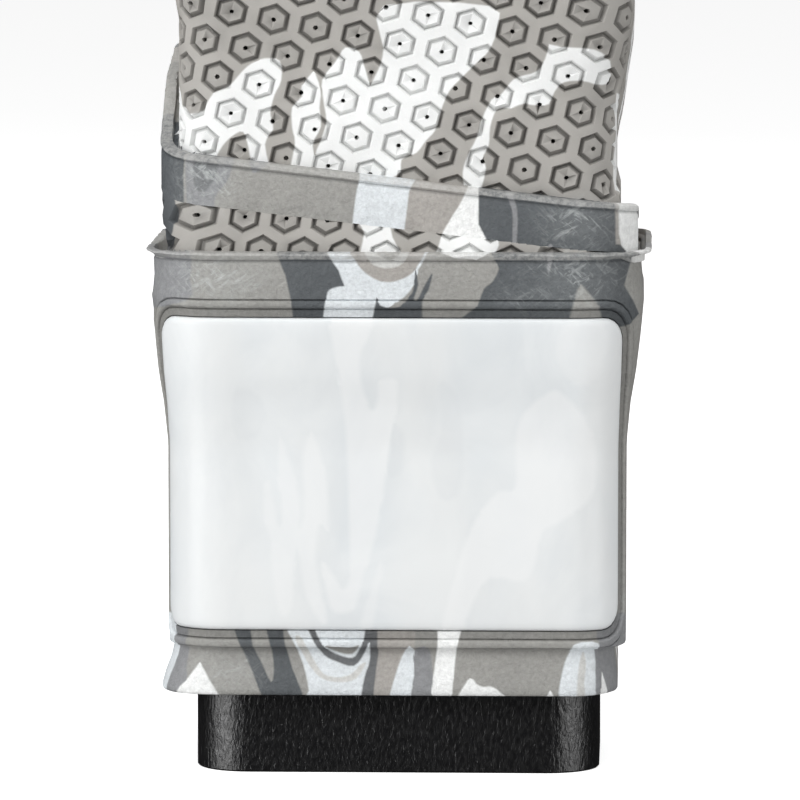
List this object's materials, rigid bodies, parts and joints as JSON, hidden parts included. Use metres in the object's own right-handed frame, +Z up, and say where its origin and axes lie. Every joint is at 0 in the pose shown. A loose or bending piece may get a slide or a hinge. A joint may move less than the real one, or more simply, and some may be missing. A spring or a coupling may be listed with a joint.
{
  "type": "hockey stick grip",
  "caption": "Slip-on rubber grip with a stepped helical band, flared closed butt end and blank badge, on a stub of rectangular hollow shaft.",
  "frame": {"origin": "centre of the shaft stub's cut lower face", "axes": "+Z up the stick towards its butt end, +X across the wide face to the right when looking at the badge, -Y out of the badge's face"},
  "size_m": [0.0406, 0.0308, 0.15],
  "materials": {
    "sleeve_rubber": "satin, marbled white, light grey and charcoal",
    "cap_rubber": "matte",
    "badge_film": "satin, translucent white",
    "tape": "matte",
    "shaft_composite": "fine-grained, half gloss",
    "plug_plastic": "matte"
  },
  "bodies": {
    "root": {"grip_sleeve": "sleeve_rubber", "butt_cap": "cap_rubber", "badge": "badge_film", "mounting_tape": "tape", "shaft_stub": "shaft_composite", "butt_plug": "plug_plastic"}
  },
  "joints": []
}
